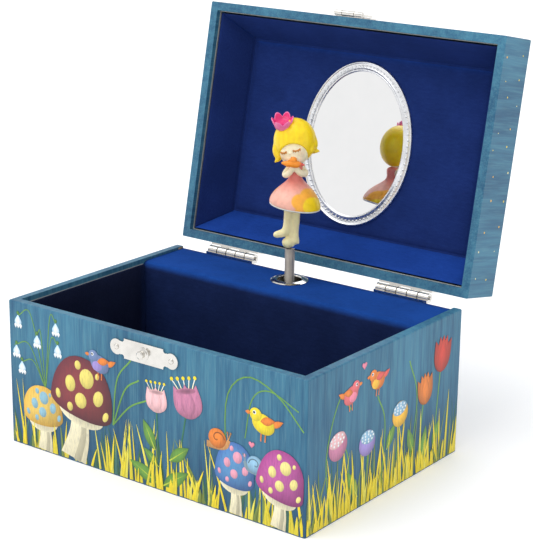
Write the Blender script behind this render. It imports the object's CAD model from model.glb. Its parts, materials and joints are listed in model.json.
"""A wind-up music box: its printed meadow, velour lining, mirror, sprung stem and painted figurine.

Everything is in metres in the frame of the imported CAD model. Sizes written in millimetres are
multiplied by MM. The lid rests open; lid pieces are drawn with the lid shut and carried by OPEN.
"""

import json
import math
import random

import bpy
from mathutils import Matrix, Vector, noise


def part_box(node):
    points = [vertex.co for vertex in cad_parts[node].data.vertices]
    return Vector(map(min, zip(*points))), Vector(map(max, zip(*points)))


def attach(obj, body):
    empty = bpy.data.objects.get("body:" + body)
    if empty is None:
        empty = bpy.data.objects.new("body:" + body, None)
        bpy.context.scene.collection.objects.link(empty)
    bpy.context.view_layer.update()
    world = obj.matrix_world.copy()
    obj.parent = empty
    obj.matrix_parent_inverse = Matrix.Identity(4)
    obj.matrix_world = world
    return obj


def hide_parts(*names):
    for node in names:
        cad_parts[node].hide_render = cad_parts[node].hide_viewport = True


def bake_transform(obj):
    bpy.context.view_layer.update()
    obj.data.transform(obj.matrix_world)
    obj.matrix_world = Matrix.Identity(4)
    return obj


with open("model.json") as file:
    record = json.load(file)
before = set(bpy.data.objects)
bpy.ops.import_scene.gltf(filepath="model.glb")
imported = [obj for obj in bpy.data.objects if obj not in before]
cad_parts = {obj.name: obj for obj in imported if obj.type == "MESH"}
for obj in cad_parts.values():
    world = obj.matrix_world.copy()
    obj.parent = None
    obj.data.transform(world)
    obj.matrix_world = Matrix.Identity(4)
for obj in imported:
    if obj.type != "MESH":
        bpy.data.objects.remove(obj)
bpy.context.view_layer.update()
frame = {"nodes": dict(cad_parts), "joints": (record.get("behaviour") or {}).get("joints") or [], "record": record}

MM = 0.001
CORNERS = ((-1, -1), (1, -1), (1, 1), (-1, 1))
TURN = 2 * math.pi
X, Y, Z = Vector((1, 0, 0)), Vector((0, 1, 0)), Vector((0, 0, 1))
NODES = frame["nodes"]
JOINTS = {joint["name"]: joint for joint in frame["joints"]}
SLOTS = {part["node"]: part["material_slot"] for part in frame["record"]["subparts"]}


# ---------------------------------------------------------------- places
def opening_turn():
    """Carries a place from the shut lid to the open lid."""
    hinge = JOINTS["lid_hinge"]
    pivot = Matrix.Translation(Vector(hinge["pos_m"]))
    swing = Matrix.Rotation(-math.radians(hinge["range_deg"][1]), 4, "X")
    return pivot @ swing @ pivot.inverted()


OPEN = opening_turn()
HERE = Matrix.Identity(4)


def shut_box(node):
    """The lowest and highest corners of a lid node, with the lid shut."""
    back = OPEN.inverted()
    points = [back @ vertex.co for vertex in NODES[node].data.vertices]
    low = Vector([min(p[i] for p in points) for i in range(3)])
    high = Vector([max(p[i] for p in points) for i in range(3)])
    return low, high


BASE_LOW, BASE_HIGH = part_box("base_paper_wrap")
LID_LOW, LID_HIGH = shut_box("lid_paper_wrap")
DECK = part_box("platform_cover")[1].z
STEM = Vector((*JOINTS["figurine_spin"]["pos_m"][:2], DECK))


# ---------------------------------------------------------------- materials
class Paint:
    """A material with a Principled shader, and short calls that add nodes to it."""

    def __init__(self, name, colour, roughness, **sockets):
        self.material = bpy.data.materials.new(name)
        self.material.use_nodes = True
        self.material.diffuse_color = (*colour, 1)
        self.tree = self.material.node_tree
        self.shader = self.tree.nodes["Principled BSDF"]
        self.shader.inputs["Base Color"].default_value = (*colour, 1)
        self.shader.inputs["Roughness"].default_value = roughness
        for socket, value in sockets.items():
            self.shader.inputs[socket.replace("_", " ")].default_value = value

    def node(self, kind, *given):
        """A new node, with (socket, value or source) pairs for its inputs."""
        made = self.tree.nodes.new("ShaderNode" + kind)
        for socket, value in given:
            if isinstance(value, bpy.types.NodeSocket):
                self.tree.links.new(value, made.inputs[socket])
            else:
                made.inputs[socket].default_value = value
        return made

    def place(self, scale, turn=0.0):
        """Object coordinates, turned about X and then stretched by scale."""
        found = self.node("TexCoord").outputs["Object"]
        for socket, value in (("Rotation", (turn, 0, 0)), ("Scale", scale)):
            found = self.node("Mapping", (socket, value), ("Vector", found)).outputs["Vector"]
        return found

    def noise(self, scale, turn=0.0, detail=3.0, rough=0.55):
        return self.node("TexNoise", ("Scale", 1), ("Detail", detail), ("Roughness", rough),
                         ("Vector", self.place(scale, turn))).outputs["Fac"]

    def ramp(self, value, *stops):
        """A colour for a value, from (position, colour) stops."""
        node = self.node("ValToRGB", ("Fac", value))
        elements = node.color_ramp.elements
        while len(elements) < len(stops):
            elements.new(0.5)
        for element, (position, colour) in zip(elements, stops):
            element.position = position
            element.color = (*colour, 1)
        return node.outputs["Color"]

    def grey(self, value, low, high, dark=0.0, light=1.0):
        """A value stretched so that low gives dark and high gives light."""
        return self.node("MapRange", ("From Min", low), ("From Max", high), ("To Min", dark),
                         ("To Max", light), ("Value", value)).outputs["Result"]

    def mix(self, share, first, second, way="MIX"):
        node = self.tree.nodes.new("ShaderNodeMix")
        node.data_type = "RGBA"
        node.blend_type = way
        for socket, given in zip((node.inputs[0], node.inputs[6], node.inputs[7]), (share, first, second)):
            if isinstance(given, bpy.types.NodeSocket):
                self.tree.links.new(given, socket)
            else:
                socket.default_value = given
        return node.outputs[2]

    def rising(self, foot, top, reach=0.055):
        """A colour that changes from the foot of the object up to reach, in metres."""
        split = self.node("SeparateXYZ", (0, self.node("TexCoord").outputs["Object"]))
        return self.ramp(self.grey(split.outputs["Z"], 0.0, reach), (0.0, foot), (1.0, top))

    def upward(self, side, top):
        """One colour on upright surfaces and another on those that face up."""
        split = self.node("SeparateXYZ", (0, self.node("NewGeometry").outputs["Normal"]))
        return self.ramp(split.outputs["Z"], (0.15, side), (0.85, top))

    def attribute(self, name):
        node = self.node("Attribute")
        node.attribute_name = name
        return node.outputs["Color"]

    def colour(self, source):
        self.tree.links.new(source, self.shader.inputs["Base Color"])
        return self

    def rough(self, value, low, high):
        self.tree.links.new(self.grey(value, 0.3, 0.7, low, high), self.shader.inputs["Roughness"])
        return self

    def bump(self, height, depth, strength=1.0):
        """Raised detail whose full height is depth, in metres."""
        node = self.node("Bump", ("Distance", depth), ("Strength", strength), ("Height", height))
        self.tree.links.new(node.outputs["Normal"], self.shader.inputs["Normal"])
        return self


def clamped(share):
    return max(0.0, min(1.0, share))


def scaled(colour, share):
    return tuple(c * share for c in colour)


def brushed_paper(name, turn=0.0):
    """Printed paper: upright brush strokes of deep teal and blue under satin varnish."""
    paint = Paint(name, (0.05, 0.16, 0.23), 0.44, Specular_IOR_Level=0.3)
    streaks = paint.noise((1100, 1100, 55), turn, 5, 0.65)
    broad = paint.noise((330, 330, 26), turn, 3)
    patches = paint.noise((24, 24, 13), turn, 2)
    fine = paint.ramp(streaks, (0.32, (0.012, 0.078, 0.165)), (0.50, (0.024, 0.125, 0.225)),
                      (0.68, (0.095, 0.215, 0.275)))
    wide = paint.ramp(broad, (0.38, (0.010, 0.062, 0.155)), (0.62, (0.048, 0.172, 0.275)))
    deep = paint.mix(0.5, fine, wide)
    lights = paint.mix(0.45, deep, (0.05, 0.17, 0.25, 1), "SCREEN")
    both = paint.mix(paint.grey(patches, 0.38, 0.72), deep, lights)
    paint.colour(paint.mix(1.0, both, paint.rising((0.62, 0.62, 0.70), (1.08, 1.06, 1.02)), "MULTIPLY"))
    return paint.rough(streaks, 0.36, 0.52).bump(streaks, 0.00006, 0.5).material


def picture_ink():
    """The printed pictures: each shape carries its own colours, broken up by dry brush strokes."""
    paint = Paint("printed_ink", (0.6, 0.5, 0.3), 0.42)
    strokes = paint.noise((1500, 1500, 260), 0.0, 5, 0.7)
    dry = paint.ramp(strokes, (0.28, (0.70, 0.70, 0.74)), (0.5, (1, 1, 1)), (0.72, (1.16, 1.14, 1.08)))
    paint.colour(paint.mix(1.0, paint.attribute("ink"), dry, "MULTIPLY"))
    return paint.rough(strokes, 0.36, 0.52).bump(strokes, 0.00004, 0.4).material


def velour(name, colour, top=None):
    """Flocked pile: deep colour that lightens where the nap is brushed, with a soft sheen.

    top multiplies the colour of surfaces that face up.
    """
    paint = Paint(name, colour, 0.95, Sheen_Weight=0.10, Sheen_Roughness=0.4,
                  Sheen_Tint=(0.10, 0.25, 1.0, 1), Specular_IOR_Level=0.03)
    pile = paint.noise((5200, 5200, 5200), 0.0, 2, 0.6)
    nap = paint.noise((42, 42, 42), 0.0, 3, 0.55)
    weave = paint.noise((260, 1300, 900), 0.0, 2, 0.5)
    worn = paint.ramp(nap, (0.36, scaled(colour, 0.88)), (0.52, colour), (0.68, scaled(colour, 1.12)))
    grain = paint.ramp(pile, (0.25, (0.62, 0.62, 0.66)), (0.75, (1.25, 1.25, 1.2)))
    threads = paint.ramp(weave, (0.3, (0.88, 0.88, 0.9)), (0.7, (1.08, 1.08, 1.06)))
    if top:
        worn = paint.mix(1.0, worn, paint.upward((1, 1, 1), top), "MULTIPLY")
    both = paint.mix(1.0, worn, grain, "MULTIPLY")
    return paint.colour(paint.mix(1.0, both, threads, "MULTIPLY")).bump(pile, 0.00012, 0.7).material


def metal(name, colour, roughness, scale=(700, 700, 90), depth=0.00002):
    """Plated or polished metal, faintly streaked and dulled in patches."""
    paint = Paint(name, colour, roughness, Metallic=1.0)
    streaks = paint.noise(scale, 0.0, 4)
    haze = paint.noise((160, 160, 160), 0.0, 3)
    paint.colour(paint.ramp(haze, (0.3, scaled(colour, 0.86)), (0.6, colour)))
    return paint.rough(streaks, roughness * 0.75, roughness * 1.35).bump(streaks, depth, 0.4).material


def plain_board(name, colour, roughness, grain, depth):
    """Fibreboard, lining paper or moulded plastic: a matt body colour with a fine grain."""
    paint = Paint(name, colour, roughness)
    fibres = paint.noise(grain, 0.0, 4, 0.65)
    paint.colour(paint.ramp(fibres, (0.3, scaled(colour, 0.72)), (0.5, colour), (0.72, scaled(colour, 1.18))))
    return paint.rough(fibres, roughness * 0.9, min(1.0, roughness * 1.1)).bump(fibres, depth, 0.5).material


def silvered_glass():
    paint = Paint("mirror_silver", (0.98, 0.98, 0.98), 0.015, Metallic=1.0, Coat_Weight=1.0,
                  Coat_Roughness=0.01)
    dust = paint.noise((90, 90, 90), 0.0, 3)
    return paint.colour(paint.ramp(dust, (0.2, (0.89, 0.895, 0.90)), (0.7, (0.92, 0.92, 0.925)))).material


def enamel(name, colour, roughness, coat=0.35):
    """Hand-painted resin: a body colour from the mesh, with slight brushing and a soft varnish."""
    paint = Paint(name, colour, roughness, Coat_Weight=coat, Coat_Roughness=0.12, Specular_IOR_Level=0.35,
                  Subsurface_Weight=0.12, Subsurface_Scale=0.002, Subsurface_Radius=(1.0, 0.5, 0.3))
    brushed = paint.noise((420, 420, 300), 0.0, 4)
    uneven = paint.ramp(brushed, (0.3, (0.90, 0.89, 0.88)), (0.6, (1.03, 1.03, 1.02)))
    paint.colour(paint.mix(1.0, paint.attribute("ink"), uneven, "MULTIPLY"))
    return paint.rough(brushed, roughness * 0.85, roughness * 1.2).bump(brushed, 0.00005, 0.4).material


LID_TURN = math.radians(JOINTS["lid_hinge"]["range_deg"][1])
BLUE = (0.014, 0.032, 0.150)
DECK_BLUE = (0.013, 0.026, 0.100)
NAVY = (0.010, 0.014, 0.038)
CREAM = (0.83, 0.70, 0.42)
INK = picture_ink()
FINISH = {
    "printed_paper": brushed_paper("brushed_paper"),
    "board": plain_board("fibreboard", (0.52, 0.38, 0.22), 0.85, (900, 900, 300), 0.0001),
    "stained_board": plain_board("stained_board", (0.14, 0.19, 0.24), 0.85, (900, 900, 300), 0.0001),
    "lining_paper": plain_board("lining_paper", (0.02, 0.03, 0.10), 0.8, (1500, 1500, 1500), 0.00005),
    "velour": velour("royal_velour", BLUE, (0.90, 1.7, 2.0)),
    "deck_velour": velour("deck_velour", DECK_BLUE, (0.80, 2.3, 2.9)),
    "deep_velour": velour("navy_velour", NAVY),
    "nickel": metal("nickel_plate", (0.72, 0.70, 0.66), 0.16),
    "mirror": silvered_glass(),
    "mirror_rim": metal("embossed_aluminium", (0.82, 0.83, 0.85), 0.30, (500, 500, 500), 0.00004),
    "zinc": metal("cast_zinc", (0.50, 0.49, 0.47), 0.48, (600, 600, 600), 0.00008),
    "brass": metal("turned_brass", (0.72, 0.50, 0.18), 0.26, (1500, 1500, 60)),
    "steel": metal("spring_steel", (0.62, 0.57, 0.51), 0.34, (120, 120, 2600)),
    "governor_plastic": plain_board("governor_plastic", (0.84, 0.84, 0.78), 0.42, (300, 300, 300), 0.00003),
    "skin": enamel("painted_skin", CREAM, 0.42, 0.12),
    "dress": enamel("painted_dress", (0.85, 0.28, 0.24), 0.40, 0.12),
    "hair": enamel("painted_hair", (0.95, 0.62, 0.02), 0.36, 0.15),
    "crown": enamel("painted_crown", (0.85, 0.13, 0.28), 0.32, 0.2),
    "bird": enamel("painted_bird", (0.90, 0.26, 0.02), 0.32, 0.2),
}
LID_PAPER = brushed_paper("brushed_paper_lid", LID_TURN)


def finish_nodes():
    """Gives every CAD node that stays in view its own finish."""
    for name, node in NODES.items():
        node.data.materials.clear()
        finish = LID_PAPER if name == "lid_paper_wrap" else FINISH[SLOTS[name]]
        if name.startswith("lid_") and SLOTS[name] == "board":
            finish = FINISH["stained_board"]
        node.data.materials.append(finish)


# ---------------------------------------------------------------- mesh helpers
def add_piece(name, verts, faces, material, body=None, slot=None, inks=None, smooth=True):
    """A mesh object that rides on a body. inks gives each vertex its own colour."""
    data = bpy.data.meshes.new(name)
    data.from_pydata([tuple(v) for v in verts], [], faces)
    data.polygons.foreach_set("use_smooth", [smooth] * len(data.polygons))
    piece = bpy.data.objects.new(name, data)
    bpy.context.scene.collection.objects.link(piece)
    data.materials.append(material)
    if inks:
        colour_vertices(piece, lambda index, place: inks[index])
    if body:
        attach(piece, body)
    return piece


def colour_vertices(piece, ink_of):
    """Writes the colour of each vertex, as ink_of(index, place) gives it."""
    data = piece.data
    layer = data.color_attributes.get("ink") or data.color_attributes.new("ink", "FLOAT_COLOR", "POINT")
    flat = []
    for vertex in data.vertices:
        flat.extend((*ink_of(vertex.index, vertex.co), 1.0))
    layer.data.foreach_set("color", flat)


def settled(piece):
    """Puts the result of a piece's modifiers into its mesh."""
    seen = piece.evaluated_get(bpy.context.evaluated_depsgraph_get())
    data = bpy.data.meshes.new_from_object(seen)
    piece.modifiers.clear()
    piece.data = data
    data.polygons.foreach_set("use_smooth", [True] * len(data.polygons))
    return piece


def merged(*forms):
    """Several (verts, faces) forms as one."""
    verts, faces = [], []
    for more_verts, more_faces in forms:
        start = len(verts)
        verts.extend(more_verts)
        faces.extend([tuple(start + i for i in face) for face in more_faces])
    return verts, faces


def skin(rings, closed=True, caps=True):
    """Faces between rings of equal length, each ring given anticlockwise as seen from the last ring."""
    count = len(rings[0])
    verts = [point for ring in rings for point in ring]
    faces = []
    for low in range(len(rings) - 1):
        for k in range(count if closed else count - 1):
            a, b = low * count + k, low * count + (k + 1) % count
            faces.append((a, b, b + count, a + count))
    if caps:
        faces.append(tuple(reversed(range(count))))
        faces.append(tuple(range(len(verts) - count, len(verts))))
    return verts, faces


def along(points, count):
    """count places along a smooth curve through points (Catmull-Rom)."""
    ends = [points[0] * 2 - points[1], *points, points[-1] * 2 - points[-2]]
    places = []
    for step in range(count):
        where = step / (count - 1) * (len(points) - 1)
        i = min(int(where), len(points) - 2)
        t = where - i
        a, b, c, d = ends[i:i + 4]
        places.append((b * 2 + (c - a) * t + (a * 2 - b * 5 + c * 4 - d) * t ** 2
                       + (b * 3 - a - c * 3 + d) * t ** 3) / 2)
    return places


def tube(path, radii, sides=12, caps=True):
    """A round tube along a path."""
    normal, rings = None, []
    for i, place in enumerate(path):
        ahead = (path[min(i + 1, len(path) - 1)] - path[max(i - 1, 0)]).normalized()
        normal = ahead.orthogonal() if normal is None else normal
        normal = (normal - ahead * normal.dot(ahead)).normalized()
        across = ahead.cross(normal)
        turns = [TURN * k / sides for k in range(sides)]
        rings.append([place + (normal * math.cos(a) + across * math.sin(a)) * radii[i] for a in turns])
    return skin(rings, caps=caps)


def limb(points, radii, count=14, sides=14):
    """A tapered limb with rounded ends. radii are given at the points."""
    path = along(points, count)
    wide = [r.x for r in along([Vector((r, 0)) for r in radii], count)]
    start, end = (path[0] - path[1]).normalized(), (path[-1] - path[-2]).normalized()
    rounds = [math.radians(a) for a in (80, 55, 28)]
    head = [path[0] + start * wide[0] * math.sin(a) for a in rounds]
    tail = [path[-1] + end * wide[-1] * math.sin(a) for a in reversed(rounds)]
    narrow = [math.cos(a) for a in rounds]
    sizes = [wide[0] * c for c in narrow] + wide + [wide[-1] * c for c in reversed(narrow)]
    return tube(head + path + tail, sizes, sides)


def blob(centre, side, fore, up, rows=16, columns=28):
    """An ellipsoid with the given half-axes, each a vector."""
    side = side if side.cross(fore).dot(up) > 0 else -side
    rings = []
    for row in range(1, rows):
        a = math.pi * row / rows
        rings.append([centre - up * math.cos(a) + (side * math.cos(TURN * k / columns)
                      + fore * math.sin(TURN * k / columns)) * math.sin(a) for k in range(columns)])
    return skin(rings)


def sculpted(name, forms, voxel, smoothing, cutter=None):
    """Melts several closed forms into one smooth skin, less the cutter's form."""
    piece = add_piece(name, *merged(*forms), FINISH["skin"])
    if cutter:
        tool = add_piece(name + "_cutter", *cutter, FINISH["skin"])
        first = piece.modifiers.new("melt_first", "REMESH")
        first.mode, first.voxel_size = "VOXEL", voxel
        hollow = piece.modifiers.new("hollow", "BOOLEAN")
        hollow.operation, hollow.object, hollow.solver = "DIFFERENCE", tool, "EXACT"
    melt = piece.modifiers.new("melt", "REMESH")
    melt.mode, melt.voxel_size = "VOXEL", voxel
    soften = piece.modifiers.new("soften", "SMOOTH")
    soften.factor, soften.iterations = 0.5, smoothing
    settled(piece)
    if cutter:
        bpy.data.objects.remove(tool)
    return piece


def painted(piece, slot, ink_of, node):
    """Colours a sculpted piece of the figurine, which stands in for a CAD node."""
    piece.data.materials.clear()
    piece.data.materials.append(FINISH[slot])
    colour_vertices(piece, ink_of)
    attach(piece, "figurine")
    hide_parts(node)


# ---------------------------------------------------------------- printed pictures
def blend_ink(first, second, share):
    return tuple(a + (b - a) * share for a, b in zip(first, second))


def leaned(ring, u, v, lean):
    """Points turned clockwise by lean degrees and moved to (u, v)."""
    c, s = math.cos(math.radians(lean)), math.sin(math.radians(lean))
    return [(u + a * c + b * s, v - a * s + b * c) for a, b in ring]


def oval(u, v, wide, tall, lean=0.0, count=26):
    """Points round an ellipse that leans clockwise by lean degrees."""
    ring = [(wide * math.cos(TURN * k / count), tall * math.sin(TURN * k / count)) for k in range(count)]
    return leaned(ring, u, v, lean)


def dome(u, v, half, up, down, lean=0.0, count=34):
    """A cap's outline: a tall half ellipse over a shallow one."""
    ring = []
    for k in range(count):
        a = TURN * k / count
        reach = up if math.sin(a) > 0 else down
        wide = half * math.copysign(abs(math.cos(a)) ** 0.85, math.cos(a))
        ring.append((wide, reach * math.copysign(abs(math.sin(a)) ** 0.95, math.sin(a))))
    return leaned(ring, u, v, lean)


def petal(u, v, long, wide, lean, fullness=0.85, count=11):
    """A pointed petal or leaf from its base at (u, v), leaning clockwise from upright by lean degrees."""
    edge = [(wide / 2 * math.sin(math.pi * (k / count) ** fullness), long * k / count)
            for k in range(count + 1)]
    ring = edge + [(-a, b) for a, b in reversed(edge[1:-1])]
    return leaned(ring, u, v, lean)


def smooth_line(points, count):
    return [(p.x, p.y) for p in along([Vector(p) for p in points], count)]


class Picture:
    """Pictures printed on one face of the box, in millimetres across and up that face.

    limits are the half width, lowest and highest places that a shape may reach.
    """

    LIFT, STEP = 0.03 * MM, 0.0008 * MM

    def __init__(self, origin, across, up, limits, carry=HERE, seed=1):
        self.origin, self.across, self.up, self.carry = origin, across, up, carry
        self.half, self.low, self.high = limits
        self.out = across.cross(up)
        self.verts, self.faces, self.inks = [], [], []
        self.layers = 0
        self.random = random.Random(seed)

    def place(self, u, v):
        u, v = max(-self.half, min(self.half, u)), max(self.low, min(self.high, v))
        rise = self.LIFT + self.STEP * self.layers
        return self.carry @ (self.origin + self.across * (u * MM) + self.up * (v * MM) + self.out * rise)

    def fill(self, outline, middle, edge, light=0.16):
        """A filled shape, shaded from its middle to its edge and lit from the upper left."""
        area = sum(a[0] * b[1] - b[0] * a[1] for a, b in zip(outline, outline[1:] + outline[:1]))
        outline = outline if area > 0 else outline[::-1]
        count = len(outline)
        cu, cv = (sum(p[i] for p in outline) / count for i in (0, 1))
        size = max(math.hypot(p[0] - cu, p[1] - cv) for p in outline)
        start = len(self.verts)
        self.verts.append(self.place(cu, cv))
        self.inks.append(middle)
        for share in (0.4, 0.75, 1.0):
            for u, v in outline:
                du, dv = (u - cu) * share, (v - cv) * share
                self.verts.append(self.place(cu + du, cv + dv))
                lit = 1 + light * (dv - du) / size
                self.inks.append(scaled(blend_ink(middle, edge, share ** 2), lit))
        for k in range(count):
            after = (k + 1) % count
            self.faces.append((start, start + 1 + k, start + 1 + after))
            for ring in (0, 1):
                low = start + 1 + ring * count
                self.faces.append((low + k, low + count + k, low + count + after, low + after))
        self.layers += 1

    def stroke(self, points, wide, start_ink, end_ink, shape="blade", count=12):
        """A brush stroke along a curve: a blade narrows to its tip, a line keeps its width."""
        line = smooth_line(points, count)
        start = len(self.verts)
        for k, (u, v) in enumerate(line):
            t = k / (count - 1)
            ahead, behind = line[min(k + 1, count - 1)], line[max(k - 1, 0)]
            du, dv = ahead[0] - behind[0], ahead[1] - behind[1]
            long = math.hypot(du, dv) or 1
            half = wide / 2 * {"blade": (1 - t) ** 0.7 + 0.04, "line": 1.0, "flare": 1.25 - 0.5 * t}[shape]
            for side in (-1, 1):
                self.verts.append(self.place(u + side * dv / long * half, v - side * du / long * half))
                self.inks.append(scaled(blend_ink(start_ink, end_ink, t), 1 - 0.12 * side))
        for k in range(count - 1):
            low = start + 2 * k
            self.faces.append((low, low + 1, low + 3, low + 2))
        self.layers += 1

    def shade(self, outline, ink, share, light=0.16):
        """A filled shape of one ink, scaled by share at its edge."""
        self.fill(outline, ink, scaled(ink, share), light)

    def dot(self, u, v, radius, ink):
        self.shade(oval(u, v, radius, radius, count=14), ink, 0.85, 0.05)

    def finish(self, name, body):
        return add_piece(name, self.verts, self.faces, INK, body, "printed_paper", self.inks, smooth=False)


WHITE, BLACK = (0.86, 0.90, 0.92), (0.01, 0.01, 0.015)
YELLOW, GOLD, ORANGE = (0.90, 0.72, 0.02), (0.92, 0.52, 0.04), (0.86, 0.24, 0.03)
RED, DARK_RED, PINK = (0.66, 0.05, 0.03), (0.30, 0.015, 0.03), (0.85, 0.25, 0.36)
ROSE, MAUVE, LILAC = (0.88, 0.52, 0.55), (0.55, 0.20, 0.34), (0.34, 0.26, 0.62)
SKY, INDIGO = (0.28, 0.52, 0.72), (0.05, 0.10, 0.42)
LEAF, DARK_LEAF, LIME = (0.11, 0.27, 0.04), (0.02, 0.12, 0.06), (0.50, 0.62, 0.05)
OLIVE, MAROON, WINE = (0.20, 0.27, 0.05), (0.24, 0.035, 0.04), (0.10, 0.012, 0.025)
STRAW, OCHRE, POND = (0.72, 0.52, 0.12), (0.62, 0.36, 0.05), (0.26, 0.50, 0.62)
AZURE, NIGHT, BLUSH = (0.09, 0.27, 0.52), (0.04, 0.12, 0.34), (0.78, 0.34, 0.46)
PLUM, DARK_PLUM = (0.48, 0.10, 0.34), (0.30, 0.04, 0.20)
BUTTER, CORN = (0.84, 0.74, 0.26), (0.80, 0.68, 0.16)
IVORY, TAN = (0.86, 0.80, 0.56), (0.55, 0.36, 0.14)


def toadstool(art, cap, half, up, down, lean, foot, stem, cap_inks, dot_ink, stem_ink=IVORY):
    """A spotted toadstool. cap is the middle of the cap's brim, foot the middle of the stem's base."""
    top = (cap[0] + 0.1 * (foot[0] - cap[0]), cap[1] - down * 0.4)
    bend = ((top[0] + foot[0]) / 2 + stem * 0.12, (top[1] + foot[1]) / 2)
    art.stroke([foot, bend, top], stem, scaled(stem_ink, 0.8), stem_ink, "flare")
    shaded = [(place[0] + stem * 0.2, place[1]) for place in (foot, bend, top)]
    art.stroke(shaded, stem * 0.28, scaled(stem_ink, 0.5), scaled(stem_ink, 0.62), "flare")
    art.fill(oval(cap[0], cap[1] - down * 0.45, half * 0.72, down * 0.66, lean), scaled(stem_ink, 0.62),
             scaled(stem_ink, 0.95))
    art.fill(dome(*cap, half, up, down * 0.72, lean), *cap_inks, light=0.30)
    spots = [(0.10, 0.60, 0.24), (-0.40, 0.36, 0.20), (0.52, 0.30, 0.20), (-0.02, 0.10, 0.19),
             (-0.76, 0.04, 0.12), (0.80, 0.00, 0.13), (-0.34, -0.12, 0.11), (-0.22, 0.80, 0.11),
             (0.42, 0.74, 0.08)]
    for a, b, size in spots:
        place = leaned([(a * half, b * up)], *cap, lean)[0]
        near_edge = 1 - 0.45 * abs(a)
        mark = oval(*place, size * half * near_edge, size * half * 1.05, lean + 25 * a, 16)
        art.shade(mark, dot_ink, 0.82, 0.2)


def measured(at, size, facing):
    """Places measured from at in sizes. facing is 1 when the animal looks right."""
    return lambda a, b: (at[0] + facing * a * size, at[1] + b * size)


def bird(art, at, size, facing, body, wing, belly=None):
    """A plump bird on thin legs."""
    spot = measured(at, size, facing)
    for a in (-0.15, 0.12):
        leg = [spot(a, -0.4), spot(a + 0.03, -0.95)]
        art.stroke(leg, size * 0.07, scaled(ORANGE, 0.7), ORANGE, "line", 4)
    art.shade(petal(*spot(-0.5, 0.0), size * 0.85, size * 0.34, -facing * 62), wing, 0.7)
    art.shade(oval(*spot(0, 0), size * 0.72, size * 0.54, -facing * 14), body, 0.72)
    art.shade(oval(*spot(0.48, 0.42), size * 0.38, size * 0.36), body, 0.85)
    if belly:
        art.shade(oval(*spot(0.22, -0.16), size * 0.38, size * 0.30), belly, 0.9)
    art.shade(petal(*spot(0.80, 0.44), size * 0.34, size * 0.22, facing * 88), ORANGE, 0.8)
    art.shade(petal(*spot(0.18, 0.12), size * 0.95, size * 0.46, -facing * 78), wing, 0.65)
    art.dot(*spot(0.56, 0.52), size * 0.11, WHITE)
    art.dot(*spot(0.58, 0.52), size * 0.065, BLACK)


def snail(art, at, size, facing, shell, skin_ink):
    spot = measured(at, size, facing)
    art.stroke([spot(-1.2, -0.75), spot(0.2, -0.78), spot(1.0, -0.55), spot(1.3, 0.1)], size * 0.5,
               scaled(skin_ink, 0.8), skin_ink, "flare")
    for a in (1.15, 1.5):
        art.stroke([spot(1.25, 0.1), spot(a, 0.75)], size * 0.10, skin_ink, scaled(skin_ink, 0.7), "line", 4)
        art.dot(*spot(a, 0.8), size * 0.11, scaled(skin_ink, 0.6))
    art.shade(oval(*spot(0, 0), size, size * 0.94), shell, 0.62, 0.25)
    turns = [spot((0.82 - 0.09 * k) * math.cos(0.62 * k), (0.76 - 0.085 * k) * math.sin(0.62 * k))
             for k in range(9)]
    art.stroke(turns, size * 0.13, scaled(shell, 0.3), scaled(shell, 0.45), "line", 30)


def leaf(art, at, long, wide, lean, ink=LEAF):
    art.fill(petal(*at, long, wide, lean), scaled(ink, 1.25), scaled(ink, 0.75))
    turn, reach = math.radians(lean), 0.85 * long
    tip = (at[0] + reach * math.sin(turn), at[1] + reach * math.cos(turn))
    art.stroke([at, tip], wide * 0.10, LIME, scaled(LIME, 0.7), "blade", 4)


def cup_flower(art, at, size, lean, ink):
    """An open cup of three petals with long stamens."""
    u, v = at
    c, s = math.cos(math.radians(lean)), math.sin(math.radians(lean))

    def spot(a, b):
        return (u + size * (a * c + b * s), v + size * (b * c - a * s))

    for k in range(5):
        a = (k - 2) * 0.22
        stamen = [spot(a * 0.5, 0.2), spot(a, 0.72), spot(a * 1.6, 1.18)]
        art.stroke(stamen, size * 0.06, YELLOW, WHITE, "line", 6)
        art.dot(*spot(a * 1.65, 1.24), size * 0.10, YELLOW)
    art.shade(oval(*spot(0, 0), size * 0.80, size * 0.74, lean), ink, 0.72)
    for a, slant in ((-0.42, -16), (0.42, 16), (0, 0)):
        art.fill(petal(*spot(a * 0.6, -0.66), size * 1.62, size * 0.86, lean + slant, 0.72), scaled(ink, 1.1),
                 scaled(ink, 0.78))
    art.fill(oval(*spot(0, 0.62), size * 0.62, size * 0.15, lean), scaled(ink, 0.45), scaled(ink, 0.9))


def bellflower(art, at, size):
    u, v = at
    art.fill(petal(u, v + size * 0.9, size * 1.7, size * 1.15, 180, 1.35), WHITE, scaled(SKY, 1.15))
    for a in (-0.42, 0, 0.42):
        tip = petal(u + a * size, v - size * 0.30, size * 0.62, size * 0.42, 180, 0.7)
        art.shade(tip, WHITE, 0.85)
    art.fill(petal(u, v + size * 1.3, size * 0.6, size * 0.5, 180), LEAF, DARK_LEAF)


def tulip(art, at, size, lean, ink):
    u, v = at
    for slant, share in ((-24, 0.7), (24, 0.7), (-10, 0.95), (10, 0.95), (0, 1.0)):
        blade = petal(u, v, size * 2.1 * (0.9 + 0.1 * share), size * 0.92, lean + slant, 0.72)
        art.fill(blade, scaled(ink, share), scaled(ink, share * 0.6))


def button_flower(art, at, size, lean, cup, top, dots):
    """A round flower: a cup below and a dotted cushion above."""
    u, v = at
    art.fill(oval(u, v, size, size * 0.95, lean), scaled(cup, 1.15), scaled(cup, 0.7))
    turn = math.radians(lean)
    mu, mv = u + size * 0.42 * math.sin(turn), v + size * 0.42 * math.cos(turn)
    art.shade(oval(mu, mv, size * 0.86, size * 0.5, lean), top, 0.75)
    for ring, count in ((0.68, 9), (0.34, 5)):
        for k in range(count):
            a = TURN * k / count
            art.dot(mu + size * ring * math.cos(a), mv + size * ring * 0.55 * math.sin(a), size * 0.085, dots)


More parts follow.
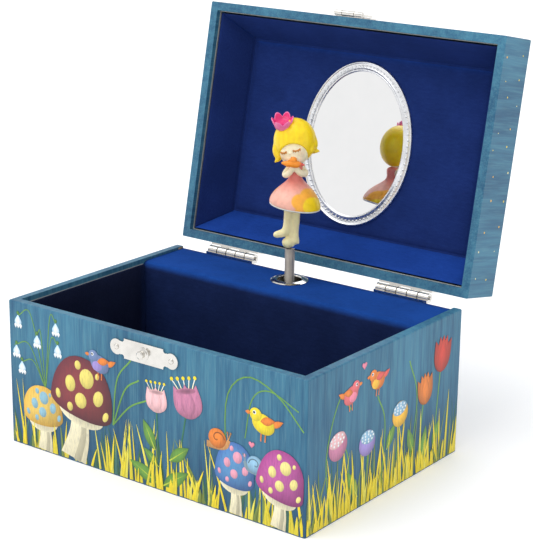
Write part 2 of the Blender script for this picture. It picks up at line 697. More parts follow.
def heart(art, at, size, ink):
    ring = [(16 * math.sin(a) ** 3,
             13 * math.cos(a) - 5 * math.cos(2 * a) - 2 * math.cos(3 * a) - math.cos(4 * a))
            for a in (TURN * k / 24 for k in range(24))]
    art.shade([(at[0] + u * size / 17, at[1] + v * size / 17) for u, v in ring], ink, 0.85)


def grass(art, low, high, floor, count, tall, inks, wide=(0.8, 2.0), lean=0.34):
    """Blades from the floor between low and high."""
    for _ in range(count):
        u = art.random.uniform(low, high)
        reach = art.random.uniform(*tall)
        sway = art.random.gauss(0, lean) * reach
        sway = max(low - u + 0.5, min(high - u - 0.5, sway))
        ink = art.random.choice(inks)
        art.stroke([(u, floor), (u + sway * 0.45, floor + reach * 0.5), (u + sway, floor + reach)],
                   art.random.uniform(*wide), scaled(ink, 0.8), ink, "blade", 8)


def stem_line(art, points, wide=0.8, ink=DARK_LEAF):
    art.stroke(points, wide, ink, scaled(ink, 1.4), "line", 16)


# The bare border round a face's print, and its lowest and highest places, in mm.
EDGE = 0.9
FLOOR = 0.4
TALL = BASE_HIGH.z / MM - EDGE
BLADES_BACK = [DARK_LEAF, (0.03, 0.13, 0.10), (0.05, 0.18, 0.16), OLIVE]
BLADES_FRONT = [YELLOW, YELLOW, YELLOW, (0.80, 0.68, 0.03), (0.86, 0.78, 0.10), OLIVE]


def front_picture():
    """The front: two clumps of toadstools, cup flowers, bellflowers, birds and snails in long grass."""
    half = BASE_HIGH.x / MM - EDGE
    art = Picture(Vector((0, BASE_LOW.y, 0)), X, Z, (half, FLOOR, TALL), seed=11)
    grass(art, -half, half, 0.6, 70, (8, 30), BLADES_BACK, (1.0, 2.4), 0.16)
    for tip, bend in (((-11, 62), (-20, 50)), ((-6, 53), (-15, 46)), ((-1, 44), (-12, 38))):
        stem_line(art, [(-23, 26), bend, tip], 0.8, LEAF)
    stem_line(art, [(46.6, 30), (47.5, 58), (59, 70), (76, 65), (91, 51)], 0.7, LEAF)
    stem_line(art, [(58, 40), (62, 60), (72, 66), (88, 60)], 0.6, LEAF)
    for at in ((-86, 66), (-60, 67), (-73, 58), (-59, 56), (-89, 50), (-84, 42)):
        stem_line(art, [(-68, 34), ((at[0] - 68) / 2, at[1] + 5), (at[0], at[1] + 3)], 0.5, LEAF)
        bellflower(art, (max(-half + 4, at[0]), at[1]), 4.2)
    stem_line(art, [(4, 2), (5.5, 20), (5, 40)])
    stem_line(art, [(13, 2), (19, 22), (23, 42)])
    grass(art, -half, half, 0.6, 75, (10, 36), BLADES_FRONT, (0.9, 2.0), 0.15)
    for at, long, wide, lean in (((4, 20), 16, 6.5, -28), ((13, 17), 15, 6.5, 52), ((6, 3), 20, 7.5, -66),
                                 ((9, 3), 19, 7, 56), ((6, 12), 12, 5, -50)):
        leaf(art, at, long, wide, lean)
    cup_flower(art, (5, 45), 7.6, -4, ROSE)
    cup_flower(art, (24.5, 48.5), 10.0, -14, MAUVE)
    toadstool(art, (-70, 19.5), 13.6, 15.5, 8, -4, (-69, 0.8), 8.0, (STRAW, OCHRE), POND)
    toadstool(art, (-44, 31), 20.5, 25.5, 10, 8, (-50, 0.8), 13.5, (MAROON, WINE), CORN)
    toadstool(art, (52, 19), 11.6, 17.5, 7.5, 4, (53, 0.8), 6.0, (AZURE, NIGHT), BLUSH)
    snail(art, (64, 28.5), 4.6, -1, SKY, (0.20, 0.30, 0.36))
    toadstool(art, (78, 20), 13.6, 19.5, 8, 10, (77.5, 0.8), 7.0, (PLUM, DARK_PLUM), BUTTER)
    snail(art, (42, 36), 5.2, 1, ORANGE, (0.62, 0.30, 0.10))
    bird(art, (-31, 55.5), 8.4, -1, (0.16, 0.24, 0.46), ORANGE, LILAC)
    bird(art, (68.5, 49.5), 9.0, -1, YELLOW, ORANGE)
    heart(art, (62, 38), 1.8, PINK)
    for low, high in ((-half, -76), (-64, -58), (-40, 48), (58, 73), (82, half)):
        grass(art, low, high, 0.6, int((high - low) * 0.30), (5, 20), BLADES_FRONT, (1.2, 2.6), 0.16)
    art.finish("front_picture", "base")


def right_picture():
    """The right side: tulips, button flowers and two birds on arching stems."""
    half = BASE_HIGH.y / MM - EDGE
    art = Picture(Vector((BASE_HIGH.x, 0, 0)), Y, Z, (half, FLOOR, TALL), seed=23)
    grass(art, -half, half, 0.6, 50, (8, 32), BLADES_BACK, (1.0, 2.4), 0.16)
    for points in ([(-46, 2), (-50, 34), (-40, 60), (-31, 52)], [(-4, 2), (-2, 36), (-9, 52)],
                   [(-30, 2), (-33, 30), (-41, 38)], [(-17, 2), (-16, 30)], [(8, 2), (11, 34)],
                   [(28, 2), (32, 38)], [(42, 2), (47, 52)], [(20, 2), (26, 40), (18, 62)]):
        stem_line(art, points, 0.8, LEAF)
    for at, long, wide, lean in (((0, 22), 14, 5.5, 30), ((24, 12), 16, 6, -20), ((42, 10), 15, 6, 24),
                                 ((32, 2), 22, 7, 8), ((-24, 6), 18, 6, -30)):
        leaf(art, at, long, wide, lean)
    grass(art, -half, half, 0.6, 75, (8, 36), BLADES_FRONT, (1.0, 2.2), 0.14)
    button_flower(art, (-41, 37), 7.4, -10, MAUVE, ROSE, WHITE)
    button_flower(art, (-17, 31), 6.8, 8, LILAC, SKY, WHITE)
    button_flower(art, (11, 37), 6.8, -6, GOLD, SKY, WHITE)
    tulip(art, (34, 35), 8.0, -6, ORANGE)
    tulip(art, (47, 48), 9.0, 6, RED)
    bird(art, (-31.5, 59), 8.0, 1, (0.80, 0.16, 0.18), ORANGE, PINK)
    bird(art, (-9.5, 60), 8.0, -1, ORANGE, (0.80, 0.12, 0.10), GOLD)
    heart(art, (-21, 70.5), 2.1, PINK)
    grass(art, -half, half, 0.6, 70, (4, 18), BLADES_FRONT, (1.3, 2.8), 0.16)
    art.finish("right_picture", "base")


def quiet_picture(name, origin, across, half, seed, keep_clear=()):
    """A side that is seldom seen: grass, toadstools and flowers at even steps, clear of any fittings."""
    art = Picture(origin, across, Z, (half, FLOOR, TALL), seed=seed)
    grass(art, -half, half, 0.6, int(half), (8, 30), BLADES_BACK, (1.0, 2.4), 0.16)
    places = [u for u in range(int(-half) + 16, int(half) - 10, 24)
              if all(abs(u - k) > 17 for k in keep_clear)]
    for number, u in enumerate(places):
        kind = (number + seed) % 4
        if kind == 0:
            toadstool(art, (u, 24), 13, 18, 8, 5, (u - 1, 0.8), 7, (RED, DARK_RED), IVORY)
        elif kind == 1:
            stem_line(art, [(u, 2), (u + 2, 24), (u, 40)])
            leaf(art, (u + 1, 12), 15, 6, 30)
            cup_flower(art, (u, 42), 6.5, 5, MAUVE)
        elif kind == 2:
            toadstool(art, (u, 19), 11, 15, 7, -6, (u + 1, 0.8), 6, (SKY, INDIGO), PINK)
            snail(art, (u, 38), 4.6, 1, ORANGE, TAN)
        else:
            stem_line(art, [(u, 2), (u - 2, 24), (u, 38)])
            leaf(art, (u - 1, 12), 15, 6, -30)
            button_flower(art, (u, 38), 6.0, 0, YELLOW, SKY, INDIGO)
    grass(art, -half, half, 0.6, int(half * 1.7), (4, 28), BLADES_FRONT, (1.1, 2.6), 0.15)
    art.finish(name, "base")


def starry_picture(name, origin, across, up, wide, tall, seed):
    """The lid's sides and top: small yellow dots in loose rows on the brushed ground."""
    art = Picture(origin, across, up, (wide / 2, FLOOR, tall), OPEN, seed)
    step = 12.5
    for row in range(int(tall / step) + 1):
        for column in range(int(wide / step) + 1):
            u = (column + 0.5) * step - wide / 2 + art.random.uniform(-3.4, 3.4)
            v = (row + 0.5) * step + art.random.uniform(-3.4, 3.4)
            if abs(u) < wide / 2 - 2 and 2 < v < tall - 2:
                size = art.random.uniform(0.32, 0.62)
                art.dot(u, v, size, art.random.choice((YELLOW, GOLD, (0.9, 0.85, 0.4))))
    art.finish(name, "lid")


def print_pictures():
    front_picture()
    right_picture()
    key_x = JOINTS["key_wind"]["pos_m"][0] / MM
    border = 0.8
    wide, deep = BASE_HIGH.x / MM - border, BASE_HIGH.y / MM - border
    quiet_picture("left_picture", Vector((BASE_LOW.x, 0, 0)), -Y, deep, 31)
    quiet_picture("back_picture", Vector((0, BASE_HIGH.y, 0)), -X, wide, 42, (-key_x,))
    tall = (LID_HIGH.z - LID_LOW.z) / MM
    low = LID_LOW.z
    starry_picture("lid_front_picture", Vector((0, LID_LOW.y, low)), X, Z, 2 * wide, tall, 51)
    starry_picture("lid_right_picture", Vector((LID_HIGH.x, 0, low)), Y, Z, 2 * deep, tall, 52)
    starry_picture("lid_left_picture", Vector((LID_LOW.x, 0, low)), -Y, Z, 2 * deep, tall, 53)
    top = Vector((0, LID_LOW.y + border * MM, LID_HIGH.z))
    starry_picture("lid_top_picture", top, X, Y, 2 * wide, 2 * deep, 54)


# ---------------------------------------------------------------- velour
def wavy(place, size, scale):
    """A small smooth push, the same on every run."""
    return size * noise.noise(place * scale)


def liner_path(half, front, back, radius):
    """Points and inward directions down the left side, along the front and up the right side."""
    path = [(Vector((-half, back + (front + radius - back) * t / 14)), Vector((1, 0))) for t in range(14)]
    for turn in range(7):
        a = math.pi + math.pi / 2 * turn / 6
        out = Vector((math.cos(a), math.sin(a)))
        path.append((Vector((-half + radius, front + radius)) + out * radius, -out))
    right = [(Vector((-p.x, p.y)), Vector((-n.x, n.y))) for p, n in reversed(path)]
    middle = [(Vector((-half + radius + (half - radius) * 2 * t / 24, front)), Vector((0, 1)))
              for t in range(1, 24)]
    return path + middle + right


def swept_strip(path, profile, wave=0.0):
    """A closed profile of (inward, height) points carried along a path of points and inward directions."""
    rings = []
    for point, inward in path:
        ring = []
        for depth, height in profile:
            flat = point + inward * depth
            place = Vector((flat.x, flat.y, height))
            push = wavy(place, wave, 55) if wave else 0.0
            ring.append(place + Vector((inward.x, inward.y, 0)) * push)
        rings.append(ring)
    return skin(rings)


def compartment_lining():
    """Velour on thin card round three sides of the compartment, its light cut edge, and the floor card."""
    low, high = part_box("compartment_liner")
    path = liner_path(high.x, low.y, high.y, 2.2 * MM)
    thick = 1.5 * MM
    steps = [low.z + (high.z - 0.5 * MM - low.z) * t / 8 for t in range(9)]
    profile = [(0.15 * MM, steps[0]), (0.15 * MM, high.z - 0.3 * MM), (0.5 * MM, high.z),
               (thick - 0.4 * MM, high.z)]
    profile += [(thick, z) for z in reversed(steps)]
    strip = add_piece("compartment_velour", *swept_strip(path, profile, 0.12 * MM), FINISH["deep_velour"],
                      "base", "velour")
    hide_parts("compartment_liner")
    edge = [(-0.02 * MM, high.z - 0.9 * MM), (0.34 * MM, high.z - 0.9 * MM), (0.34 * MM, high.z + 0.22 * MM),
            (-0.02 * MM, high.z + 0.22 * MM)]
    add_piece("compartment_card_edge", *swept_strip(path, edge), CARD, "base", "board", smooth=False)
    padded_slab("compartment_floor_velour", "compartment_floor")


def padded_slab(name, node):
    """A velour-covered card in a node's box: soft edges and a faintly uneven face."""
    low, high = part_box(node)
    columns, rows, soft = 60, 34, 1.2 * MM
    verts, faces = [], []
    for top in (False, True):
        for j in range(rows + 1):
            for i in range(columns + 1):
                x = low.x + (high.x - low.x) * i / columns
                y = low.y + (high.y - low.y) * j / rows
                near = min(x - low.x, high.x - x, y - low.y, high.y - y)
                edge = 0.35 * MM * max(0, 1 - near / soft) ** 2
                height = high.z - edge + wavy(Vector((x, y, 0)), 0.06 * MM, 60)
                verts.append(Vector((x, y, min(height, high.z) if top else low.z)))
    span, layer = columns + 1, (columns + 1) * (rows + 1)
    for j in range(rows):
        for i in range(columns):
            a = j * span + i
            faces.append((a, a + span, a + span + 1, a + 1))
            faces.append((layer + a, layer + a + 1, layer + a + span + 1, layer + a + span))
    rim = [*range(columns), *(columns + j * span for j in range(rows)),
           *(rows * span + i for i in range(columns, 0, -1)), *(j * span for j in range(rows, 0, -1))]
    for a, b in zip(rim, rim[1:] + rim[:1]):
        faces.append((a, b, layer + b, layer + a))
    slab = add_piece(name, verts, faces, FINISH["deep_velour"], "base", "velour")
    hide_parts(node)


def platform_velour():
    """The bent velour cover over the movement, rounded along its front edge and holed for the stem."""
    low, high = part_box("platform_cover")
    bend, thick = 4 * MM, 2 * MM
    outer = [(low.y, low.z + (high.z - bend - low.z) * t / 12) for t in range(13)]
    outer += [(low.y + bend * (1 - math.cos(a)), high.z - bend * (1 - math.sin(a)))
              for a in (math.radians(90 * k / 8) for k in range(1, 9))]
    outer += [(low.y + bend + (high.y - low.y - bend) * t / 9, high.z) for t in range(1, 10)]
    inner = [(low.y + thick, low.z)]
    inner += [(low.y + bend - (bend - thick) * math.cos(a), high.z - bend + (bend - thick) * math.sin(a))
              for a in (math.radians(90 * k / 6) for k in range(7))]
    inner += [(high.y, high.z - thick)]
    profile = outer + inner[::-1]
    rings = []
    for k in range(61):
        x = low.x + (high.x - low.x) * k / 60
        ring = []
        for number, (y, z) in enumerate(profile):
            push = wavy(Vector((x, y, z)), 0.12 * MM, 48) if 0 < number < len(outer) - 1 else 0
            ring.append(Vector((x, y + abs(push), z - abs(push) * 0.5)))
        rings.append(ring)
    cover = add_piece("platform_velour", *skin([ring[::-1] for ring in rings]), FINISH["deck_velour"])
    radius, reach = 7.3 * MM, 9 * MM
    hole = tube([Vector((*STEM[:2], high.z + s * reach)) for s in (-1, 1)], [radius] * 2, 48)
    tool = add_piece("stem_hole", *hole, FINISH["deck_velour"])
    punch = cover.modifiers.new("stem_hole", "BOOLEAN")
    punch.operation, punch.object, punch.solver = "DIFFERENCE", tool, "EXACT"
    settled(cover)
    bpy.data.objects.remove(tool)
    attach(cover, "base")
    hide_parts("platform_cover")


def soft_panel(corners, proud, soft, divisions=(40, 16)):
    """A velour card with rounded edges. Its four corners run anticlockwise as seen from outside."""
    a, b, c, d = corners
    out = (b - a).cross(d - a).normalized()
    columns, rows = divisions
    lengths = ((b - a).length, (d - a).length)
    verts, faces = [], []

    def spread(count):
        """Even steps with extra ones close to both ends."""
        ends = [0.0, 0.004, 0.012, 0.03]
        inner = [0.06 + 0.88 * k / (count - 8) for k in range(count - 7)]
        return ends + inner + [1 - t for t in reversed(ends)]

    us, vs = spread(columns), spread(rows)
    for t in vs:
        for s in us:
            place = (a * (1 - s) + b * s) * (1 - t) + (d * (1 - s) + c * s) * t
            near = min(min(s, 1 - s) * lengths[0], min(t, 1 - t) * lengths[1])
            lift = proud * (1 - max(0.0, 1 - near / soft) ** 2)
            verts.append(place + out * (lift + wavy(place, 0.10 * MM, 45) * min(1, near / soft)))
    span = len(us)
    for j in range(len(vs) - 1):
        for i in range(span - 1):
            k = j * span + i
            faces.append((k, k + 1, k + span + 1, k + span))
    return verts, faces


def lid_lining():
    """Four slanted velour panels round a raised flat one, with a fold between them, and the card's edge."""
    low, high = shut_box("lid_liner")
    wide, deep, edge, ceiling = high.x, high.y, low.z, high.z - 0.75 * MM
    crease_x, crease_y = 76 * MM, 48.5 * MM
    card = 1.2 * MM
    outer = [Vector((sx * (wide - card), sy * (deep - card), edge)) for sx, sy in CORNERS]
    fold = [Vector((sx * crease_x, sy * crease_y, ceiling)) for sx, sy in CORNERS]
    forms = []
    for k in range(4):
        n = (k + 1) % 4
        slant = [outer[n], outer[k], fold[k], fold[n]]
        pulled = [slant[0], slant[1], slant[1].lerp(slant[2], 0.955), slant[0].lerp(slant[3], 0.955)]
        forms.append(soft_panel(pulled, 0.3 * MM, 1.4 * MM))
        forms.append((slant, [(0, 1, 2, 3)]))
    inset = [Vector((p.x * 0.985, p.y * 0.976, ceiling)) for p in fold]
    forms.append(soft_panel([inset[1], inset[0], inset[3], inset[2]], 0.5 * MM, 1.6 * MM, (60, 44)))
    forms.append(([fold[1], fold[0], fold[3], fold[2]], [(0, 1, 2, 3)]))
    verts, faces = merged(*forms)
    cover = add_piece("lid_velour", [OPEN @ v for v in verts], faces, FINISH["velour"], "lid", "velour")
    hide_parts("lid_liner")
    rim = [Vector((sx * (wide + 0.05 * MM), sy * (deep + 0.05 * MM), edge - 0.02 * MM)) for sx, sy in CORNERS]
    cut = 0.4 * MM
    inner = [Vector((p.x - math.copysign(cut, p.x), p.y - math.copysign(cut, p.y), p.z)) for p in rim]
    up = Vector((0, 0, 1.0 * MM))
    rings = [[rim[k], inner[k], inner[k] + up, rim[k] + up] for k in (0, 1, 2, 3, 0)]
    verts, faces = skin(rings, caps=False)
    add_piece("lid_card_edge", [OPEN @ v for v in verts], faces, CARD, "lid", "board", smooth=False)


# ---------------------------------------------------------------- mirror and stem
def mirror_rim():
    """An embossed oval rim: a rolled edge, a flat band with small beads, and a raised lip at the glass."""
    low, high = shut_box("mirror_frame")
    semi_x, semi_y = high.x, high.y
    back, proud = high.z, high.z - low.z
    profile = [(0, 0), (0, 0.55), (0.25, 0.85), (0.7, 0.92), (1.05, 0.62), (1.3, 0.58),
               (3.7, 0.62), (4.0, 0.82), (4.5, 1.0), (5.0, 0.92), (5.3, 0.6), (5.3, 0.0)]

    def on_edge(a):
        """A place on the oval's edge, and the way inward from it."""
        point = Vector((semi_x * math.cos(a), semi_y * math.sin(a), 0))
        return point, -Vector((semi_y * math.cos(a), semi_x * math.sin(a), 0)).normalized()

    rings = []
    steps = 120
    for k in range(steps + 1):
        point, inward = on_edge(TURN * k / steps)
        rings.append([point + inward * depth * MM + Z * (back - height * proud) for depth, height in profile])
    forms = [skin(rings, caps=False)]
    beads = 84
    for k in range(beads):
        point, inward = on_edge(TURN * k / beads)
        centre = point + inward * 2.5 * MM + Z * (back - 0.60 * proud)
        forms.append(blob(centre, X * 0.62 * MM, Y * 0.62 * MM, Z * 0.5 * MM, 6, 10))
    verts, faces = merged(*forms)
    rim = add_piece("mirror_rim", [OPEN @ v for v in verts], faces, FINISH["mirror_rim"], "lid", "mirror_rim")
    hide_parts("mirror_frame")


def sprung_stem():
    """A close-coiled spring from the drum's arbor up to the figurine's foot. It bends with the stem."""
    low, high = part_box("stem_spring")
    wire, pitch = 0.27 * MM, 0.50 * MM
    radius = (high.x - low.x) / 2 - wire
    turns = (high.z - low.z - 2 * wire) / pitch
    count = int(turns * 22)
    path = []
    for k in range(count + 1):
        a = TURN * turns * k / count
        path.append(Vector((STEM.x + radius * math.cos(a), STEM.y + radius * math.sin(a),
                            low.z + wire + pitch * turns * k / count)))
    spring = add_piece("stem_coil", *tube(path, [wire] * len(path), 6), FINISH["steel"])
    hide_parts("stem_spring")
    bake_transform(spring)


# ---------------------------------------------------------------- figurine
VIEW = math.radians(37)
SIDE, FORE = Vector((math.cos(VIEW), math.sin(VIEW), 0)), Vector((math.sin(VIEW), -math.cos(VIEW), 0))


def spot(side, fore, up):
    """A place on the figurine: to its own left, towards its front, and above the platform, in mm."""
    return STEM + (SIDE * side + FORE * fore + Z * up) * MM


FACE_TURN, FACE_TILT = math.radians(-16), math.radians(14)
FACE_FORE = FORE * math.cos(FACE_TURN) + SIDE * math.sin(FACE_TURN)
LEVEL_SIDE = SIDE * math.cos(FACE_TURN) - FORE * math.sin(FACE_TURN)
FACE_SIDE = LEVEL_SIDE * math.cos(FACE_TILT) + Z * math.sin(FACE_TILT)
FACE_UP = Z * math.cos(FACE_TILT) - LEVEL_SIDE * math.sin(FACE_TILT)
HEAD = spot(1.4, 0.8, 70.7)
HEAD_SIZE = (8.6, 8.2, 8.3)


def on_face(angle, height, out=0.0):
    """A place on the face: degrees to the side and up, and how far out of the skin, in mm."""
    a, b = math.radians(angle), math.radians(height)
    side, fore, up = (r + out for r in HEAD_SIZE)
    return HEAD + (FACE_SIDE * side * math.sin(a) * math.cos(b) + FACE_FORE * fore * math.cos(a) * math.cos(b)
                   + FACE_UP * up * math.sin(b)) * MM


def round_form(side, fore, up, size):
    """An ellipsoid at a spot, with half-axes to the side, fore and up."""
    return blob(spot(side, fore, up), SIDE * size[0] * MM, FORE * size[1] * MM, Z * size[2] * MM)


def spot_limb(points, radii, count=14):
    return limb([spot(*p) for p in points], [r * MM for r in radii], count)


def dancer_body():
    """Legs, arms, neck and head melted into one casting, with blushed cheeks, and painted closed lashes."""
    side, fore, up = (r * MM for r in HEAD_SIZE)
    forms = [
        spot_limb([(2.4, 0, 22), (2.4, 0, 26), (2.7, 0, 34), (2.8, 0, 44)], [2.5, 2.1, 2.3, 2.5]),
        spot_limb([(4.0, 0.3, 20.9), (2.6, 0, 23.4)], [1.0, 2.2], 4),
        spot_limb([(0.6, 0.5, 21.3), (2.2, 0, 23.0)], [1.1, 2.2], 4),
        spot_limb([(-0.8, 0, 44), (-1.0, 0, 36), (-1.4, 0.1, 29.5), (-3.0, 0.3, 26.2), (-7.0, 0.6, 25.0)],
                  [2.5, 2.4, 2.4, 2.3, 1.8]),
        spot_limb([(-0.6, 0, 32), (0.2, 0, 27), (0.6, 0, 23)], [2.0, 1.9, 1.8]),
        round_form(-1.1, 0.4, 20.8, (3.1, 2.9, 2.9)),
        round_form(0.0, 0.0, 20.4, (2.6, 2.6, 2.4)),
        spot_limb([(2.0, 0, 52), (1.9, 0, 60), (1.6, 0.2, 65)], [3.0, 2.6, 1.9]),
        spot_limb([(-1.2, 0.4, 60.2), (-3.0, 2.2, 57.6), (-1.4, 5.0, 58.6), (1.2, 6.6, 62.6)],
                  [1.8, 1.8, 1.6, 1.6]),
        spot_limb([(5.0, 0.4, 60.4), (7.2, 1.8, 58.4), (4.6, 5.4, 59.2), (1.6, 6.9, 62.8)],
                  [1.8, 2.0, 1.7, 1.6]),
        blob(HEAD, FACE_SIDE * side, FACE_FORE * fore, FACE_UP * up, 24, 36),
        blob(HEAD - FACE_UP * 2.4 * MM + FACE_FORE * 1.2 * MM, FACE_SIDE * side * 0.78,
             FACE_FORE * fore * 0.82, FACE_UP * up * 0.74, 20, 32),
        blob(on_face(0, -4, -0.1), FACE_SIDE * 0.75 * MM, FACE_FORE * 0.8 * MM, FACE_UP * 0.7 * MM, 8, 12),
    ]
    body = sculpted("dancer_body", forms, 0.34 * MM, 7)
    cheeks = [on_face(a, -14) for a in (-36, 36)]
    blush, pale, cream = (0.92, 0.52, 0.28), (0.97, 0.86, 0.60), (1.0, 0.90, 0.52)

    def ink(_, place):
        warm = max(math.exp(-((place - cheek).length / (1.7 * MM)) ** 2) for cheek in cheeks)
        shade = clamped(1 - ((place.z - STEM.z) / MM - 44) / 6)
        return blend_ink(blend_ink(pale, blush, 0.35 * warm), cream, shade)

    painted(body, "skin", ink, "figurine_body")
    lashes = []
    for centre in (-25, 24):
        lid = [on_face(centre + 13 * math.sin(a), 6 - 6 * math.cos(a), 0.12)
               for a in (math.radians(d) for d in range(-78, 79, 13))]
        lashes.append(tube(lid, [0.40 * MM] * len(lid), 6))
        for tilt in (-44, -15, 15, 44):
            a = math.radians(tilt)
            roots = [on_face(centre + (13 + r) * math.sin(a), 6 - (6 + r) * math.cos(a), 0.12)
                     for r in (0, 6)]
            lashes.append(tube(roots, [0.36 * MM, 0.16 * MM], 6))
    verts, faces = merged(*lashes)
    brown = [(0.62, 0.22, 0.02)] * len(verts)
    add_piece("dancer_lashes", verts, faces, FINISH["skin"], "figurine", "skin", brown)


HEM_SLOPE = 0.13
DRESS = (2.3, 0.0)


def on_skirt(radius, angle, height):
    """A place on the skirt, whose hem dips towards the side of the standing leg."""
    side, fore = radius * math.cos(angle), radius * math.sin(angle)
    dip = HEM_SLOPE * side * clamped((54 - height) / 12)
    return side, fore, spot(DRESS[0] + side, DRESS[1] + fore, height - dip)


def dancer_dress():
    """A bell skirt and small bodice, pink with an orange cloud and a yellow sun, with a white hem."""
    profile = [(0.6, 43.4), (8.0, 42.8), (11.8, 41.6), (12.7, 40.8), (13.2, 40.9), (13.3, 41.8), (13.0, 43.2),
               (12.4, 44.8), (11.5, 46.4), (10.4, 47.9), (9.1, 49.4), (7.7, 50.8), (6.2, 52.2),
               (4.9, 53.5), (3.9, 54.7), (3.4, 56.0), (3.4, 57.4), (3.9, 59.0), (4.2, 60.4),
               (3.8, 61.6), (2.6, 62.4), (0.8, 62.7)]
    count, rings, inks = 132, [], []
    pink, salmon = (0.82, 0.24, 0.20), (0.90, 0.47, 0.38)
    orange, yellow = (0.98, 0.45, 0.05), (1.0, 0.70, 0.01)
    for radius, height in smooth_line(profile, 76):
        ring = []
        for k in range(count):
            side, fore, place = on_skirt(radius, TURN * k / count, height)
            ring.append(place)
            seen = (place.z - STEM.z) / MM - 0.3 * fore
            around = abs(side) if fore < 0 else side
            cloud = min(math.hypot(around - u, seen - v) - r for u, v, r in
                        ((2.2, 42.0, 4.3), (6.6, 45.2, 4.4), (11.4, 46.0, 5.0), (3.6, 37.2, 3.8)))
            sun = math.hypot(around - 9.2, seen - 39.6) - 5.2
            ink = blend_ink(salmon, pink, clamped((height - 48) / 7))
            ink = blend_ink(ink, orange, clamped(0.5 - cloud * 1.6))
            inks.append(blend_ink(ink, yellow, clamped(0.5 - sun * 2.2)))
        rings.append(ring)
    verts, faces = skin(rings)
    dress = add_piece("dancer_dress", verts, faces, FINISH["dress"], "figurine", "dress", inks)
    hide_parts("figurine_dress")
    hem = [on_skirt(12.7, TURN * k / 90, 40.7)[2] for k in range(91)]
    verts, faces = tube(hem, [0.6 * MM] * len(hem), 10, caps=False)
    white = [(0.86, 0.84, 0.78)] * len(verts)
    add_piece("dancer_hem", verts, faces, FINISH["dress"], "figurine", "dress", white)


def dancer_hair():
    """A glossy bob: a rounded cap open at the face, with tips that flip out."""
    forms = [blob(spot(1.7, -0.9, 74.6), SIDE * 11.0 * MM, FORE * 10.2 * MM, Z * 11.9 * MM, 26, 40),
             spot_limb([(8.8, -1.0, 78), (10.6, 0.6, 73.5), (11.2, 1.6, 70.4), (14.0, 1.8, 69.9)],
                       [3.2, 3.0, 2.0, 0.6]),
             spot_limb([(-6.0, -0.5, 76), (-7.2, 1.4, 70), (-6.6, 2.6, 66.2), (-8.2, 3.0, 64.3)],
                       [2.6, 2.6, 1.8, 0.6]),
             spot_limb([(9.0, 2.0, 76), (9.6, 3.2, 71.5), (8.4, 3.6, 68.6)], [2.6, 2.4, 1.2])]
    opening = blob(HEAD + (FACE_FORE * 9.8 - FACE_UP * 4.4 + FACE_SIDE * 1.0) * MM, FACE_SIDE * 9.2 * MM,
                   FACE_FORE * 9.4 * MM, FACE_UP * 8.7 * MM, 24, 36)
    bob = sculpted("dancer_hair", forms, 0.36 * MM, 5, cutter=opening)
    gold, deep = (1.0, 0.74, 0.01), (0.94, 0.52, 0.005)

    def ink(_, place):
        strand = noise.noise(Vector((place.x * 700, place.y * 700, place.z * 90)))
        low = clamped(1 - ((place.z - STEM.z) / MM - 66) / 8)
        return blend_ink(gold, deep, clamped(0.15 + 0.3 * strand + 0.3 * low))

    painted(bob, "hair", ink, "figurine_hair")


def dancer_crown():
    """A little pink crown like an open flower with six short points, leaning to the head's right side."""
    tilt = Matrix.Rotation(math.radians(5), 4, FORE) @ Matrix.Rotation(math.radians(20), 4, SIDE)
    foot = spot(-4.4, 1.4, 81.8)
    count, points = 132, 6
    rings = [[] for _ in range(9)]
    for k in range(count):
        a = TURN * k / count
        peak = abs(math.cos(points * a / 2)) ** 0.9
        top = 4.0 + 2.4 * peak
        edge = 4.7 + 1.1 * peak
        out = SIDE * math.cos(a) + FORE * math.sin(a)
        shape = ((0.4, -0.6), (2.8, -0.5), (4.2, 0.8), (edge * 0.86, top * 0.5), (edge, top * 0.92),
                 (edge * 0.97, top), (edge * 0.86, top * 0.90), (3.8, 3.3), (0.4, 3.5))
        for ring, (radius, height) in zip(rings, shape):
            ring.append(foot + tilt @ ((out * radius + Z * height) * MM))
    verts, faces = skin(rings)
    rose, dark = (0.88, 0.20, 0.44), (0.78, 0.02, 0.18)
    inks = [dark if number >= 6 * count else rose for number in range(len(verts))]
    crown = add_piece("dancer_crown", verts, faces, FINISH["crown"], "figurine", "crown", inks)
    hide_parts("figurine_crown")


def dancer_bird():
    """An orange bird held up to the mouth, with its beak, wing and tail."""
    forms = [
        blob(spot(1.2, 8.4, 64.6), (SIDE * 4.0 - Z * 0.5) * MM, FORE * 2.2 * MM, (Z * 2.0 + SIDE * 0.3) * MM),
        blob(spot(1.0, 8.8, 66.6), SIDE * 1.9 * MM, FORE * 1.7 * MM, Z * 1.8 * MM),
        spot_limb([(-0.2, 9.2, 66.7), (-1.9, 9.5, 66.5)], [0.7, 0.15], 4),
        spot_limb([(-1.8, 8.4, 64.6), (-4.4, 8.0, 64.9)], [1.7, 0.8], 6),
        spot_limb([(4.2, 8.2, 64.4), (6.4, 8.0, 64.0)], [1.2, 0.5], 6),
    ]
    piece = sculpted("dancer_bird", forms, 0.22 * MM, 3)
    tail = spot(6.0, 8.0, 64.0)

    def ink(_, place):
        near = math.exp(-((place - tail).length / (2.4 * MM)) ** 4)
        return blend_ink((0.93, 0.30, 0.02), (0.80, 0.12, 0.10), near)

    painted(piece, "bird", ink, "figurine_bird")


# ---------------------------------------------------------------- stage, lights and camera
def backdrop():
    """A pale floor that the white surroundings fade into."""
    paint = Paint("pale_floor", (0.93, 0.93, 0.94), 0.7, Emission_Color=(1, 1, 1, 1), Emission_Strength=0.14)
    mottle = paint.noise((3, 3, 3), 0.0, 2)
    paint.colour(paint.ramp(mottle, (0.3, (0.92, 0.92, 0.93)), (0.7, (0.95, 0.95, 0.955))))
    size = 6.0
    corners = [Vector((sx * size, sy * size, BASE_LOW.z)) for sx, sy in CORNERS]
    add_piece("floor", corners, [(0, 1, 2, 3)], paint.material)


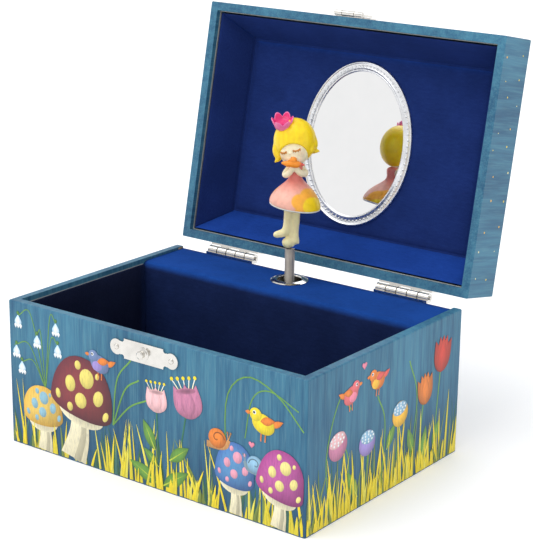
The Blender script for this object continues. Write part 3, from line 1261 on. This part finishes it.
def lamp(name, kind, place, aim, power, **settings):
    data = bpy.data.lights.new(name, kind)
    data.energy = power
    for setting, value in settings.items():
        setattr(data, setting, value)
    light = bpy.data.objects.new(name, data)
    light.location = place
    light.rotation_euler = (Vector(aim) - Vector(place)).to_track_quat("-Z", "Y").to_euler()
    bpy.context.scene.collection.objects.link(light)


def studio():
    """White surroundings, which the mirror shows, and a broad soft light from above."""
    world = bpy.data.worlds.new("studio")
    world.use_nodes = True
    world.node_tree.nodes["Background"].inputs["Color"].default_value = (1, 1, 1, 1)
    world.node_tree.nodes["Background"].inputs["Strength"].default_value = 0.94
    bpy.context.scene.world = world
    lamp("top_light", "SUN", (-0.6, -0.8, 2.0), (0, 0, 0.08), 1.1, angle=math.radians(50))
    bpy.context.scene.view_settings.view_transform = "Standard"


def camera():
    """The eye stands in front and to the right, higher than the open lid."""
    data = bpy.data.cameras.new("camera")
    data.lens, data.sensor_width, data.sensor_fit = 109.47, 36, "AUTO"
    data.clip_start = 0.01
    eye = bpy.data.objects.new("camera", data)
    azimuth, elevation, roll = (math.radians(a) for a in (37.0, 17.02, 0.69))
    target, distance = Vector((19.8, 0, 93.2)) * MM, 828.06 * MM
    back = Vector((math.sin(azimuth) * math.cos(elevation), -math.cos(azimuth) * math.cos(elevation),
                   math.sin(elevation)))
    right = Vector((math.cos(azimuth), math.sin(azimuth), 0))
    up = back.cross(right)
    tilted_right = right * math.cos(roll) + up * math.sin(roll)
    tilted_up = up * math.cos(roll) - right * math.sin(roll)
    turn = Matrix((tilted_right, tilted_up, back)).transposed().to_4x4()
    eye.matrix_world = Matrix.Translation(target + back * distance) @ turn
    bpy.context.scene.collection.objects.link(eye)
    bpy.context.scene.camera = eye


# ---------------------------------------------------------------- the whole box
CARD = plain_board("cut_card", (0.34, 0.36, 0.36), 0.8, (900, 900, 900), 0.00005)
camera()
studio()
backdrop()
finish_nodes()
print_pictures()
compartment_lining()
platform_velour()
lid_lining()
mirror_rim()
sprung_stem()
dancer_body()
dancer_dress()
dancer_hair()
dancer_crown()
dancer_bird()
